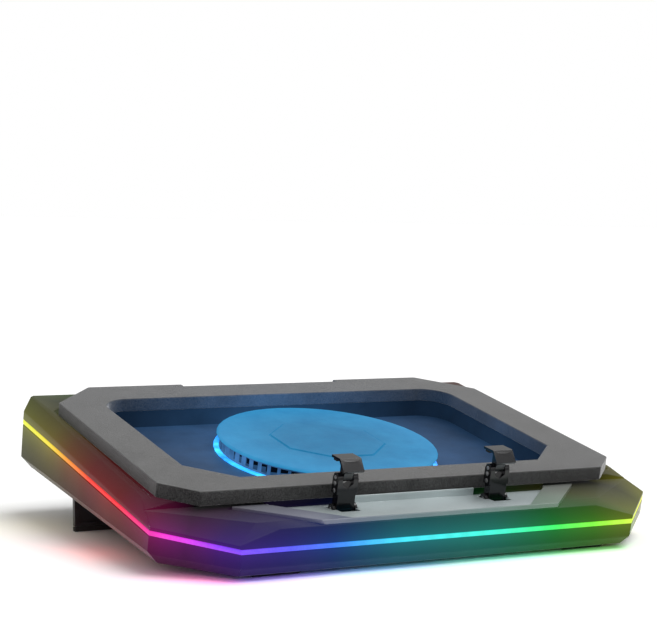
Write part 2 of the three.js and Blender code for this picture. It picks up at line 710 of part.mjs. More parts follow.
function controlPanel() {
  const upstand = block(
    -UPSTAND_HALF_WIDTH, UPSTAND_HALF_WIDTH, PANEL_REAR - UPSTAND_THICKNESS, PANEL_REAR,
    PANEL_REAR_Z - PANEL_THICKNESS / 2, UPSTAND_TOP,
  );
  const panel = joined(panelPrism(0, -PANEL_THICKNESS, 0), solid(upstand));
  return without(panel, stopSlot(-STOP_X), stopSlot(STOP_X));
}

// The board under the panel, between the stops.
function controlBoard() {
  const [width, depth, thickness] = CONTROL_BOARD_SIZE;
  const middle = (PANEL_FRONT + PANEL_REAR) / 2;
  const outline = polygon([
    [-width / 2, middle - depth / 2], [width / 2, middle - depth / 2],
    [width / 2, middle + depth / 2], [-width / 2, middle + depth / 2],
  ]);
  const low = -PANEL_THICKNESS - CONTROL_BOARD_SINK;
  return solid(onDeck(outline, low, low + thickness));
}

// ---- fan ----

function fanDeck() {
  const plate = solid(prismZ(
    windowOutline(WELL_MARGIN - GAP), FAN_DECK_TOP - FAN_DECK_THICKNESS, FAN_DECK_TOP,
  ));
  return without(plate, solid(rodZ(INLET_RADIUS, -TALL, TALL, 0, FAN_Y, FINE)));
}

function octagon(inradius) {
  const corner = inradius / Math.cos(Math.PI / 8);
  const points = [];
  for (let i = 0; i < 8; i += 1) {
    const angle = (i + 0.5) * Math.PI / 4;
    points.push([corner * Math.cos(angle), FAN_Y + corner * Math.sin(angle)]);
  }
  return polygon(points);
}

function fanCover() {
  const disc = solid(latheZ([
    [0, COVER_BOTTOM], [COVER_RADIUS, COVER_BOTTOM], [COVER_RADIUS, COVER_TOP - 1.2],
    [COVER_RADIUS - 1.6, COVER_TOP - 0.2], [COVER_RADIUS - 5, COVER_TOP], [0, COVER_TOP],
  ]));
  const recess = prismZ(octagon(CAP_INRADIUS + CAP_GROOVE), COVER_TOP - CAP_SINK, TALL);
  return without(disc, solid(recess));
}

function hubCap() {
  return solid(prismZ(octagon(CAP_INRADIUS), COVER_TOP - CAP_SINK + GAP, COVER_TOP + CAP_RISE));
}

// A ring of upright fins between two rims; each slot is cut in one flat of the ring.
function fanGrille() {
  const top = COVER_BOTTOM - GAP;
  const bottom = FAN_DECK_TOP + GAP;
  const inner = GRILLE_RADIUS - GRILLE_WALL;
  const pitch = 2 * Math.PI / GRILLE_FINS;
  const slotWidth = GRILLE_RADIUS * pitch - FIN_WIDTH;
  const slots = [];
  for (let i = 0; i < GRILLE_FINS; i += 1) {
    const slot = block(
      inner - GRILLE_WALL, GRILLE_RADIUS + GRILLE_WALL, -slotWidth / 2, slotWidth / 2,
      bottom + GRILLE_RIM, top - GRILLE_RIM,
    );
    slot.rotateZ((i + 0.5) * pitch);
    slots.push(solid(slot.translate(0, FAN_Y, 0)));
  }
  const ring = solid(ringZ(inner, GRILLE_RADIUS, bottom, top, GRILLE_FINS));
  return without(ring, wasm.Manifold.union(slots));
}

function fanLightRing() {
  const bottom = FAN_DECK_TOP + GAP;
  return solid(ringZ(
    GRILLE_RADIUS + GAP, COVER_RADIUS + GLOW_OVERHANG, bottom, bottom + GLOW_THICKNESS,
  ));
}

// A backward-curved blade as a bent strip between two radii.
function bladeShape(turn) {
  const steps = 3;
  const inner = HUB_OUTER + BLADE_ROOT;
  const outer = IMPELLER_RADIUS - 1;
  const half = BLADE_THICKNESS / 2;
  const edge = [[], []];
  for (let i = 0; i <= steps; i += 1) {
    const share = i / steps;
    const radius = inner + (outer - inner) * share;
    const angle = turn - BLADE_SWEEP * share * share;
    for (const side of [0, 1]) {
      const shift = (side ? 1 : -1) * half / radius;
      edge[side].push([
        radius * Math.cos(angle + shift), FAN_Y + radius * Math.sin(angle + shift),
      ]);
    }
  }
  return polygon([...edge[0], ...edge[1].reverse()]);
}

function impeller() {
  const under = IMPELLER_TOP - IMPELLER_PLATE;
  const plate = solid(ringZ(SHAFT_RADIUS + GAP, IMPELLER_RADIUS, under, IMPELLER_TOP));
  const cup = solid(ringZ(HUB_OUTER - 2, HUB_OUTER, MOTOR_FLOOR + 2.5, IMPELLER_TOP - 0.5));
  const blades = [];
  for (let i = 0; i < IMPELLER_BLADES; i += 1) {
    const turn = i * 2 * Math.PI / IMPELLER_BLADES;
    blades.push(solid(prismZ(bladeShape(turn), IMPELLER_BOTTOM, IMPELLER_TOP - 0.5)));
  }
  return joined(plate, cup, wasm.Manifold.union(blades));
}

// A ring under the inlet with three spokes that carry the motor.
function motorMount() {
  const low = MOTOR_FLOOR - MOUNT_THICKNESS;
  const top = FAN_DECK_TOP - FAN_DECK_THICKNESS - GAP;
  const parts = [
    solid(ringZ(INLET_RADIUS + 1, INLET_RADIUS + 6, low, top)),
    solid(rodZ(MOTOR_RADIUS + 2, low, MOTOR_FLOOR, 0, FAN_Y)),
  ];
  for (let i = 0; i < 3; i += 1) {
    const spoke = block(
      MOTOR_RADIUS, INLET_RADIUS + 3, -MOUNT_SPOKE / 2, MOUNT_SPOKE / 2, low, MOTOR_FLOOR,
    );
    spoke.rotateZ(Math.PI / 2 + i * 2 * Math.PI / 3);
    parts.push(solid(spoke.translate(0, FAN_Y, 0)));
  }
  return joined(...parts);
}

const MOTOR_TOP = IMPELLER_TOP - IMPELLER_PLATE - MOTOR_HEADROOM;

function motorStator() {
  return solid(ringZ(BEARING_RADIUS + GAP, MOTOR_RADIUS, MOTOR_FLOOR + GAP, MOTOR_TOP, ROUND));
}

function motorBearing() {
  return solid(ringZ(
    SHAFT_RADIUS + GAP, BEARING_RADIUS, MOTOR_FLOOR + GAP, MOTOR_TOP - 0.5, ROUND,
  ));
}

function motorShaft() {
  return solid(rodZ(SHAFT_RADIUS, MOTOR_FLOOR + 2 * GAP, IMPELLER_TOP - GAP, 0, FAN_Y, 24));
}

// A flat round plate lying along the bottom plate's inside or outside face.
function alongBottom(geometry, rise) {
  geometry.translate(0, 0, rise);
  geometry.rotateX(-Math.atan(BOTTOM_SLOPE));
  return geometry.translate(0, FAN_Y, bottomAt(FAN_Y));
}

// The intake cover: a round plate with rows of radial slots.
function intakeGrille() {
  const plate = new THREE.Shape();
  plate.absarc(0, 0, INTAKE_RADIUS - 1, 0, 2 * Math.PI, false);
  const rim = INTAKE_RADIUS - INTAKE_RIM;
  const ribs = (INTAKE_ROWS.length - 1) * INTAKE_RIB;
  const length = (rim - INTAKE_HUB - ribs) / INTAKE_ROWS.length;
  INTAKE_ROWS.forEach((count, row) => {
    const outer = rim - row * (length + INTAKE_RIB);
    const inner = outer - length;
    for (let i = 0; i < count; i += 1) {
      const turn = i * 2 * Math.PI / count;
      const half = 0.3 * 2 * Math.PI / count;
      const corners = [[inner, -half], [outer, -half], [outer, half], [inner, half]];
      plate.holes.push(new THREE.Path(corners.map(([radius, angle]) => new THREE.Vector2(
        radius * Math.cos(turn + angle), radius * Math.sin(turn + angle),
      ))));
    }
  });
  return solid(alongBottom(prismZ(plate, 0, INTAKE_THICKNESS, 32), GAP));
}

// The filter above the intake cover: a rim with a thin sheet across it.
function dustFilter() {
  const radius = INTAKE_RADIUS - 1;
  const inner = radius - FILTER_RIM;
  const profile = [
    [0, 0], [radius, 0], [radius, FILTER_HEIGHT], [inner, FILTER_HEIGHT],
    [inner, FILTER_SHEET], [0, FILTER_SHEET],
  ];
  const points = profile.map(([r, z]) => new THREE.Vector2(r, z));
  const geometry = new THREE.LatheGeometry(points, FINE).rotateX(Math.PI / 2);
  return solid(alongBottom(geometry, FILTER_RISE));
}

// ---- front stops ----

// A trough that the stem turns in, with a round ear on each side for the pin.
function stopBracket(x) {
  const y = STOP_PIVOT_Y;
  const z = STOP_PIVOT_Z;
  const low = z - BRACKET_FLOOR;
  const half = STEM_WIDTH / 2 + EAR_PLAY;
  const wide = half + EAR_THICKNESS + BRACKET_REACH;
  let bracket = solid(block(
    x - wide, x + wide, y - BRACKET_REACH, y + BRACKET_REACH, low, low + BRACKET_HEIGHT,
  ));
  for (const side of [-1, 1]) {
    const lowX = side < 0 ? x - half - EAR_THICKNESS : x + half;
    const highX = lowX + EAR_THICKNESS;
    bracket = joined(
      bracket,
      solid(block(lowX, highX, y - HINGE_RADIUS, y + HINGE_RADIUS, low, z)),
      solid(rodX(HINGE_RADIUS, lowX, highX, y, z)),
    );
  }
  const trough = solid(block(x - half, x + half, y - TALL, y + TALL, low + BRACKET_SOLE, TALL));
  const bore = solid(rodX(PIN_RADIUS + GAP, x - TALL, x + TALL, y, z));
  return without(bracket, trough, bore);
}

function stopPin(x) {
  const half = STEM_WIDTH / 2 + EAR_PLAY + EAR_THICKNESS + PIN_PROUD;
  return solid(rodX(PIN_RADIUS, x - half, x + half, STOP_PIVOT_Y, STOP_PIVOT_Z));
}

// The arm: a stem on the hinge pin, a wider part and a fork with a V between its ears.
function stopArm(x) {
  const y = STOP_PIVOT_Y;
  const front = LIP_PIVOT_Y - ARM_THICKNESS / 2;
  const rear = LIP_PIVOT_Y + ARM_THICKNESS / 2;
  const shoulder = STOP_PIVOT_Z + STEM_HEIGHT;
  const stem = STEM_WIDTH / 2;
  const wide = ARM_WIDTH / 2;
  const top = LIP_PIVOT_Z;
  const arm = joined(
    solid(rodX(HINGE_RADIUS, x - stem, x + stem, y, STOP_PIVOT_Z)),
    solid(block(x - stem, x + stem, front, rear - 1, STOP_PIVOT_Z, shoulder + 1)),
    solid(block(x - wide, x + wide, front, rear, shoulder, top)),
    solid(rodX(KNUCKLE_RADIUS, x - wide, x + wide, LIP_PIVOT_Y, top)),
  );
  const fork = FORK_WIDTH / 2 + FORK_PLAY;
  const vee = prismY([
    [x - fork, TALL], [x - fork, top - FORK_DEPTH], [x, top - FORK_DEPTH - FORK_VEE],
    [x + fork, top - FORK_DEPTH], [x + fork, TALL],
  ], y - TALL, y + TALL);
  const knuckleFront = LIP_PIVOT_Y - KNUCKLE_RADIUS;
  const chamfer = prismX([
    [front - 1, top - 3], [knuckleFront, top], [knuckleFront, TALL], [front - 1, TALL],
  ], x - TALL, x + TALL);
  const stemBore = rodX(PIN_RADIUS + GAP, x - TALL, x + TALL, y, STOP_PIVOT_Z);
  const earBore = rodX(PIN_RADIUS + GAP, x - TALL, x + TALL, LIP_PIVOT_Y, LIP_PIVOT_Z);
  const sockets = RIVET_RISES.map((rise) => rivetBody(x, rise, GAP));
  return without(
    arm, solid(vee), solid(chamfer), solid(stemBore), solid(earBore), ...sockets,
  );
}

// A rivet in the arm's left side; grow makes the hole for it, open to the outside.
function rivetBody(x, rise, grow) {
  const face = x - ARM_WIDTH / 2;
  const z = STOP_PIVOT_Z + rise;
  const proud = PIN_PROUD + 2 * grow;
  return joined(
    solid(rodX(RIVET_RADIUS + grow, face, face + RIVET_LENGTH + grow, LIP_PIVOT_Y, z)),
    solid(rodX(RIVET_HEAD_RADIUS + grow, face - proud, face + PIN_PROUD + grow, LIP_PIVOT_Y, z)),
  );
}

function lipPin(x) {
  const half = ARM_WIDTH / 2 + PIN_PROUD;
  return solid(rodX(PIN_RADIUS, x - half, x + half, LIP_PIVOT_Y, LIP_PIVOT_Z));
}

// The hook: a knuckle between the ears, a neck, a flat top and a front flap that slants down.
function stopLip(x) {
  const y = LIP_PIVOT_Y;
  const z = LIP_PIVOT_Z;
  const top = z + LIP_RISE;
  const half = FORK_WIDTH / 2;
  const knuckle = solid(rodX(KNUCKLE_RADIUS - 0.4, x - half, x + half, y, z));
  const neck = solid(prismX([
    [y - 2.8, z], [y + 2.8, z], [y + 2.8, top - 2], [y - 5.5, top - 2], [y - 6.5, top - 6],
  ], x - half, x + half));
  const hook = solid(prismX([
    [y + LIP_REACH, top - 0.6], [y - 3.6, top], [y - 10.6, top - 8],
    [y - 9.2, top - 9.4], [y - 2.8, top - 2.2], [y + LIP_REACH, top - 2.4],
  ], x - LIP_WIDTH / 2, x + LIP_WIDTH / 2));
  const bore = solid(rodX(PIN_RADIUS + GAP, x - TALL, x + TALL, y, z));
  return without(joined(knuckle, neck, hook), bore);
}

// A soft pad under the hook, behind its neck.
function lipPad(x) {
  const top = LIP_PIVOT_Z + LIP_RISE - 2.6 - GAP;
  const front = LIP_PIVOT_Y + 3.6;
  const rear = LIP_PIVOT_Y + LIP_REACH - 0.6;
  const half = LIP_WIDTH / 2 - 1.5;
  return solid(prismX([
    [front, top], [rear, top], [rear - 0.4, top - 1.4], [front, top - 1.4],
  ], x - half, x + half));
}

// ---- rear legs ----

// The leg stands straight down from its hinge here; its mesh is then swung forward by the lean.
function legLength() {
  const reachY = (length) => LEG_PIVOT_Y - length * Math.sin(LEG_LEAN);
  const drop = (length) => LEG_PIVOT_Z - length * Math.cos(LEG_LEAN);
  let length = 20;
  for (let i = 0; i < 20; i += 1) {
    length += drop(length) - floorAt(reachY(length));
  }
  return length;
}

function swung(geometry) {
  geometry.rotateX(-LEG_LEAN);
  return geometry.translate(0, LEG_PIVOT_Y, LEG_PIVOT_Z);
}

function legPlate(side) {
  const low = Math.min(side * LEG_OUTER_X, side * (LEG_OUTER_X - LEG_WIDTH));
  const high = low + LEG_WIDTH;
  const half = LEG_THICKNESS / 2;
  const end = -legLength() + LEG_TIP_HEIGHT;
  const plate = joined(
    solid(swung(rodX(LEG_KNUCKLE, low, high, 0, 0))),
    solid(swung(block(low, high, -half, half, end, 0))),
  );
  const recess = swung(block(
    low + LEG_FRAME, high - LEG_FRAME, -half - 1, -half + LEG_RECESS, end + LEG_FRAME - 1, -6,
  ));
  const bore = swung(rodX(PIN_RADIUS + GAP, low - 5, high + 5, 0, 0));
  return without(plate, solid(recess), solid(bore));
}

// A rubber strip along the leg's end, cut level with the floor.
function legTip(side) {
  const low = Math.min(side * LEG_OUTER_X, side * (LEG_OUTER_X - LEG_WIDTH));
  const half = LEG_THICKNESS / 2 + LEG_TIP_PROUD;
  const end = -legLength() + LEG_TIP_HEIGHT - GAP;
  const strip = solid(swung(block(low, low + LEG_WIDTH, -half, half, end - 8, end)));
  const above = prismX([
    [0, floorAt(0)], [200, floorAt(200)], [200, TALL], [0, TALL],
  ], -CASE_WIDTH, CASE_WIDTH);
  return common(strip, solid(above));
}

// ---- feet, ports and screws ----

// A rubber block with slanting ends and a sole that is level on the desk.
function frontFoot(side) {
  const [width, depth] = FRONT_FOOT_SIZE;
  const front = FRONT_FOOT_Y - depth / 2;
  const rear = FRONT_FOOT_Y + depth / 2;
  const left = side * FRONT_FOOT_X - width / 2;
  const right = side * FRONT_FOOT_X + width / 2;
  const wedge = prismX([
    [front, floorAt(front)], [rear, floorAt(rear)],
    [rear, bottomAt(rear) - GAP], [front, bottomAt(front) - GAP],
  ], left, right);
  const ends = prismY([
    [left, bottomAt(front)], [left + FRONT_FOOT_SLANT, floorAt(rear)],
    [right - FRONT_FOOT_SLANT, floorAt(rear)], [right, bottomAt(front)],
  ], front - 1, rear + 1);
  return common(solid(wedge), solid(ends));
}

function rearFoot(side) {
  const foot = new THREE.CylinderGeometry(
    REAR_FOOT_RADIUS, REAR_FOOT_RADIUS - REAR_FOOT_TAPER, REAR_FOOT_HEIGHT, ROUND,
  );
  foot.rotateX(Math.PI / 2);
  foot.translate(0, 0, -REAR_FOOT_HEIGHT / 2 - GAP);
  foot.rotateX(-Math.atan(BOTTOM_SLOPE));
  foot.translate(side * REAR_FOOT_X, REAR_FOOT_Y, bottomAt(REAR_FOOT_Y));
  return solid(foot);
}

// A rod along Y from low to high, level with the ports.
function rodY(radius, low, high, x) {
  const geometry = new THREE.CylinderGeometry(radius, radius, high - low, ROUND);
  return geometry.translate(x, (low + high) / 2, PORT_Z);
}

const PORT_FACE = CASE_REAR - PORT_SINK;

function powerSocket() {
  const [width, depth, height] = SOCKET_SIZE;
  const body = solid(block(
    SOCKET_X - width / 2, SOCKET_X + width / 2, PORT_FACE - depth, PORT_FACE,
    PORT_Z - height / 2, PORT_Z + height / 2,
  ));
  const bore = rodY(SOCKET_BORE_RADIUS, PORT_FACE - depth + 4, PORT_FACE + 1, SOCKET_X);
  const pin = rodY(SOCKET_PIN_RADIUS, PORT_FACE - depth + 2, PORT_FACE - 2, SOCKET_X);
  return joined(without(body, solid(bore)), solid(pin));
}

function usbPort(x) {
  const [width, depth, height] = USB_SIZE;
  const [tongueWidth, tongueHeight] = USB_TONGUE;
  const body = solid(block(
    x - width / 2, x + width / 2, PORT_FACE - depth, PORT_FACE,
    PORT_Z - height / 2, PORT_Z + height / 2,
  ));
  const mouth = block(
    x - width / 2 + USB_WALL, x + width / 2 - USB_WALL, PORT_FACE - depth + 2, PORT_FACE + 1,
    PORT_Z - height / 2 + USB_WALL, PORT_Z + height / 2 - USB_WALL,
  );
  const tongue = block(
    x - tongueWidth / 2, x + tongueWidth / 2, PORT_FACE - depth + 1, PORT_FACE - 1,
    PORT_Z + 0.4, PORT_Z + 0.4 + tongueHeight,
  );
  return joined(without(body, solid(mouth)), solid(tongue));
}

// The board under the sockets.
function portBoard() {
  const [depth, thickness] = PORT_BOARD_SIZE;
  const left = SOCKET_X - SOCKET_SIZE[0];
  const right = Math.max(...USB_X) + USB_SIZE[0];
  const top = PORT_Z - SOCKET_SIZE[2] / 2 - GAP;
  const rear = CASE_REAR - WALL - 2;
  return solid(block(left, right, rear - depth, rear, top - thickness, top));
}

function caseScrew(x, y) {
  const seat = bottomAt(y) + SCREW_SEAT - GAP;
  const bottom = seat - SCREW_HEAD_HEIGHT;
  const top = seat + SCREW_LENGTH;
  const profile = [
    [0, bottom], [SCREW_HEAD_RADIUS - 0.6, bottom], [SCREW_HEAD_RADIUS, bottom + 0.6],
    [SCREW_HEAD_RADIUS, seat], [SCREW_RADIUS, seat], [SCREW_RADIUS, top - 1], [0.6, top], [0, top],
  ];
  const points = profile.map(([r, z]) => new THREE.Vector2(r, z));
  const screw = new THREE.LatheGeometry(points, 10).rotateX(Math.PI / 2).translate(x, y, 0);
  const recess = joined(
    solid(block(x - 2, x + 2, y - 0.4, y + 0.4, bottom - 1, bottom + 0.8)),
    solid(block(x - 0.4, x + 0.4, y - 2, y + 2, bottom - 1, bottom + 0.8)),
  );
  return without(solid(screw), recess);
}

// ---- the assembly ----

const pad = new THREE.Group();

function piece(name, manifold, look, parent = pad) {
  const mesh = new THREE.Mesh(geometryOf(manifold), new THREE.MeshStandardMaterial(look));
  mesh.name = name;
  parent.add(mesh);
  return mesh;
}

piece('lower_shell', lowerShell(), BLACK_PLASTIC);
piece('upper_shell', upperShell(), BLACK_PLASTIC);
piece('light_diffuser', lightDiffuser(), STRIP_PLASTIC);
piece('led_board', ledBoard(), BOARD);
piece('foam_seal', foamSeal(), GREY_FOAM);
piece('control_bezel', controlBezel(), BLACK_PLASTIC);
piece('control_panel', controlPanel(), SILVER);
piece('control_board', controlBoard(), BOARD);

const fan = new THREE.Group();
pad.add(fan);
piece('fan_deck', fanDeck(), DARK_PLASTIC, fan);
piece('fan_cover', fanCover(), BLUE_PLASTIC, fan);
piece('hub_cap', hubCap(), BLUE_PLASTIC, fan);
piece('fan_grille', fanGrille(), DARK_PLASTIC, fan);
piece('fan_light_ring', fanLightRing(), STRIP_PLASTIC, fan);
piece('impeller', impeller(), DARK_PLASTIC, fan);
piece('motor_shaft', motorShaft(), STEEL, fan);
piece('motor_bearing', motorBearing(), STEEL, fan);
piece('motor_stator', motorStator(), COPPER, fan);
piece('motor_mount', motorMount(), DARK_PLASTIC, fan);
piece('intake_grille', intakeGrille(), DARK_PLASTIC, fan);
piece('dust_filter', dustFilter(), DARK_PLASTIC, fan);

for (const [side, word] of [[-1, 'left'], [1, 'right']]) {
  const stop = new THREE.Group();
  pad.add(stop);
  const x = side * STOP_X;
  piece(`stop_bracket_${word}`, stopBracket(x), DARK_PLASTIC, stop);
  piece(`stop_pin_${word}`, stopPin(x), STEEL, stop);
  piece(`stop_arm_${word}`, stopArm(x), DARK_PLASTIC, stop);
  RIVET_RISES.forEach((rise, i) => {
    piece(`arm_rivet_${word}_${i + 1}`, rivetBody(x, rise, 0), STEEL, stop);
  });
  piece(`lip_pin_${word}`, lipPin(x), STEEL, stop);
  piece(`stop_lip_${word}`, stopLip(x), DARK_PLASTIC, stop);
  piece(`lip_pad_${word}`, lipPad(x), RUBBER, stop);

  const leg = new THREE.Group();
  pad.add(leg);
  piece(`leg_${word}`, legPlate(side), DARK_PLASTIC, leg);
  piece(`leg_pin_${word}`, legPinRod(side, 0), STEEL, leg);
  piece(`leg_tip_${word}`, legTip(side), RUBBER, leg);
  piece(`front_foot_${word}`, frontFoot(side), RUBBER, leg);
  piece(`rear_foot_${word}`, rearFoot(side), RUBBER, leg);
}

piece('power_socket', powerSocket(), DARK_PLASTIC);
USB_X.forEach((x, i) => piece(`usb_port_${i + 1}`, usbPort(x), STEEL));
piece('port_board', portBoard(), BOARD);
SCREW_SPOTS.forEach(([x, y], i) => piece(`case_screw_${i + 1}`, caseScrew(x, y), STEEL));

// Tip the pad back onto its legs, then stand it on z = 0 with its box centred on the Z axis.
pad.rotation.x = TILT;
pad.updateMatrixWorld(true);
const box = new THREE.Box3().setFromObject(pad, true);
const middle = box.getCenter(new THREE.Vector3());
pad.position.set(-middle.x, -middle.y, -box.min.z);

const coolingPad = new THREE.Group();
coolingPad.name = 'laptop_cooling_pad';
coolingPad.add(pad);

export default coolingPad;
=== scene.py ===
"""Looks of the laptop cooling pad: fine surfaces, procedural materials, light and camera.

Metres, in the row frame. The pad's own frame is tipped back from it: there z = 0 is the middle of
the light strip, and y = 0 the middle of the case.
"""
import json
import math

import bmesh
import bpy
from mathutils import Matrix, Vector


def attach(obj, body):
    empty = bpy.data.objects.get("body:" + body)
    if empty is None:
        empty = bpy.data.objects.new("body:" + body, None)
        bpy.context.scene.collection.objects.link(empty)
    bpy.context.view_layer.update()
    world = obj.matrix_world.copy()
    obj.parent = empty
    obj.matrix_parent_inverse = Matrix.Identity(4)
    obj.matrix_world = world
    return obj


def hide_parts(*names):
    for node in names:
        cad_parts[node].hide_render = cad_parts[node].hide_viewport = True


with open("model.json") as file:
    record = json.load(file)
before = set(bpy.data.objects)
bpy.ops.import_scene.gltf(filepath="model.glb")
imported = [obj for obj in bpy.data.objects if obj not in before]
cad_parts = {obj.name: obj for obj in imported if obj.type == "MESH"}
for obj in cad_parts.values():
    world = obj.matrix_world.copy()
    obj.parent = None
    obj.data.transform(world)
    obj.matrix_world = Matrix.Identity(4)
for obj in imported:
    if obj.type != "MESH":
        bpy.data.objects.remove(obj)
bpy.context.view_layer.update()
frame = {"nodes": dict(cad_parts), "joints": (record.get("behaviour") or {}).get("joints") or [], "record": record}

MM = 0.001
RECORD = frame["record"]
SLOT_OF = {part["node"]: part["material_slot"] for part in RECORD["subparts"]}
BODY_OF = {
    node: body for body, nodes in RECORD["behaviour"]["bodies"].items() for node in nodes
}

# ---- the pad's own frame ----

FAN = next(joint for joint in frame["joints"] if joint["name"] == "fan_spin")
FAN_Y = 28 * MM  # the fan's axis, behind the middle of the case
TILT = math.atan2(-FAN["axis"][1], FAN["axis"][2])
PAD = (
    Matrix.Translation(FAN["pos_m"])
    @ Matrix.Rotation(TILT, 4, "X")
    @ Matrix.Translation((0, -FAN_Y, 0))
)
TO_PAD = PAD.inverted()


# ---- materials ----

class Look:
    """A Principled material whose sockets are fed by texture nodes."""

    def __init__(self, name, **values):
        self.material = bpy.data.materials.new(name)
        self.material.use_nodes = True
        self.tree = self.material.node_tree
        self.shader = self.tree.nodes["Principled BSDF"]
        for socket, value in values.items():
            self.shader.inputs[socket.replace("_", " ")].default_value = value
        self.coords = self.tree.nodes.new("ShaderNodeTexCoord").outputs["Object"]

    def add(self, kind, settings=None, **inputs):
        """Makes a node. A socket as an input is linked, and anything else is set as its value."""
        made = self.tree.nodes.new("ShaderNode" + kind)
        for key, value in (settings or {}).items():
            setattr(made, key, value)
        for key, value in inputs.items():
            index = int(key[1:]) if key[0] == "i" and key[1:].isdigit() else key.replace("_", " ")
            if isinstance(value, bpy.types.NodeSocket):
                self.tree.links.new(value, made.inputs[index])
            else:
                made.inputs[index].default_value = value
        return made

    def math(self, operation, first, second=0.0, third=0.0):
        made = self.add("Math", {"operation": operation}, i0=first, i1=second, i2=third)
        return made.outputs[0]

    def noise(self, scale, detail=3.0, roughness=0.55, vector=None):
        made = self.add(
            "TexNoise", Vector=vector or self.coords, Scale=scale, Detail=detail,
            Roughness=roughness,
        )
        return made.outputs[0]

    def ramp(self, factor, stops):
        made = self.add("ValToRGB", Fac=factor)
        elements = made.color_ramp.elements
        while len(elements) < len(stops):
            elements.new(0.5)
        for element, (position, colour) in zip(elements, stops):
            element.position = position
            element.color = (*colour, 1.0)
        return made.outputs[0]

    def span(self, factor, low, high, start=0.3, end=0.7):
        """A value from low to high as factor goes from start to end."""
        made = self.add("MapRange", i0=factor, i1=start, i2=end, i3=low, i4=high)
        return made.outputs[0]

    def feed(self, socket, value):
        self.tree.links.new(value, self.shader.inputs[socket])

    def bump(self, height, distance, strength=1.0):
        made = self.add("Bump", Height=height, Distance=distance, Strength=strength)
        self.feed("Normal", made.outputs[0])

    def scaled(self, colour, factor):
        return self.add("VectorMath", {"operation": "SCALE"}, i0=colour, Scale=factor).outputs[0]

    def painted_glow(self, *lights):
        """Paints light on: gives off the sum of these colours as emission, though the piece is no lamp."""
        total = lights[0]
        for light in lights[1:]:
            total = self.add("VectorMath", {"operation": "ADD"}, i0=total, i1=light).outputs[0]
        self.feed("Emission Color", total)
        self.shader.inputs["Emission Strength"].default_value = 1.0

    def stretched(self, scale):
        """The coordinates stretched along the axes by scale."""
        made = self.add("Mapping", Vector=self.coords, Scale=scale)
        return made.outputs[0]

    def pad_coords(self):
        """The coordinates in the pad's own frame."""
        made = self.add(
            "Mapping", {"vector_type": "POINT"}, Vector=self.coords,
            Location=TO_PAD.to_translation(), Rotation=TO_PAD.to_euler("XYZ"),
        )
        return made.outputs[0]


PATCH_SCALE = 22


def moulded(name, dark, light, rough, grain=1400, depth=0.05 * MM, **values):
    """Moulded plastic or rubber: fine grain, soft patches of shade, and faint handling marks."""
    look = Look(name, **values)
    shade = look.noise(PATCH_SCALE, 5.0, 0.6)
    grains = look.noise(grain, 2.0, 0.6)
    mixed = look.math("MULTIPLY_ADD", grains, 0.45, look.math("MULTIPLY", shade, 0.6))
    look.feed("Base Color", look.ramp(mixed, ((0.3, dark), (0.75, light))))
    marks = look.noise(9.0, 8.0, 0.7)
    look.feed("Roughness", look.span(marks, rough - 0.06, rough + 0.08))
    look.bump(grains, depth)
    return look


# Where each colour of the light strip sits: turns about the middle of the pad, from its left side
# round by the front, the right and the back.
RAINBOW = (
    (0.00, (1.00, 0.030, 0.012)),
    (0.04, (1.00, 0.008, 0.030)),
    (0.07, (1.00, 0.010, 0.280)),
    (0.09, (0.90, 0.030, 0.850)),
    (0.11, (0.26, 0.035, 1.000)),
    (0.14, (0.09, 0.080, 1.000)),
    (0.165, (0.02, 0.200, 1.000)),
    (0.21, (0.03, 0.800, 1.000)),
    (0.29, (0.03, 1.000, 0.720)),
    (0.335, (0.02, 1.000, 0.120)),
    (0.36, (0.22, 1.000, 0.020)),
    (0.385, (0.85, 1.000, 0.050)),
    (0.46, (1.00, 0.850, 0.030)),
    (0.58, (1.00, 0.300, 0.020)),
    (0.66, (1.00, 0.020, 0.100)),
    (0.74, (0.50, 0.030, 1.000)),
    (0.80, (0.03, 0.500, 1.000)),
    (0.86, (0.05, 1.000, 0.250)),
    (0.90, (0.90, 1.000, 0.060)),
    (0.94, (1.00, 0.780, 0.030)),
    (0.965, (1.00, 0.330, 0.015)),
    (1.00, (1.00, 0.030, 0.012)),
)


def rainbow(look):
    """The light strip's colour at each point, by its direction from the middle of the pad."""
    turn = look.add("TexGradient", {"gradient_type": "RADIAL"}, Vector=look.pad_coords())
    return look.ramp(turn.outputs[1], RAINBOW)


# Where the strip's painted light starts on the case and where it is full, from the middle of the pad.
PAINTED_STRIP_ACROSS = (172 * MM, 208 * MM)
PAINTED_STRIP_FRONT = (-96 * MM, -150 * MM)
PAINTED_STRIP_BEHIND = (130 * MM, 155 * MM)


def painted_strip_light(look, strength, reach):
    """The strip's light painted on the outside of the case as a glow, fading over reach."""
    x, y, z = look.add("SeparateXYZ", Vector=look.pad_coords()).outputs
    across = look.span(look.math("ABSOLUTE", x), 0, 1, *PAINTED_STRIP_ACROSS)
    front = look.span(y, 1, 0, PAINTED_STRIP_FRONT[1], PAINTED_STRIP_FRONT[0])
    behind = look.span(y, 0, 1, *PAINTED_STRIP_BEHIND)
    outside = look.math("MAXIMUM", across, look.math("MAXIMUM", front, behind))
    away = look.math("MULTIPLY", look.math("ABSOLUTE", z), -1 / reach)
    faded = look.math("MULTIPLY", look.math("POWER", math.e, away), strength)
    return look.scaled(rainbow(look), look.math("MULTIPLY", faded, outside))


# Painted light: the fan's blue glow on nearby pieces, and where it fades.
PAINTED_FAN_BLUE = (0.13, 0.42, 1.0)
PAINTED_FAN_NEAR = 95 * MM  # from the fan's axis: full light up to here
PAINTED_FAN_FAR = 190 * MM  # and the faintest from here on
PAINTED_FAN_LEFT = 0.2  # the share that is left there


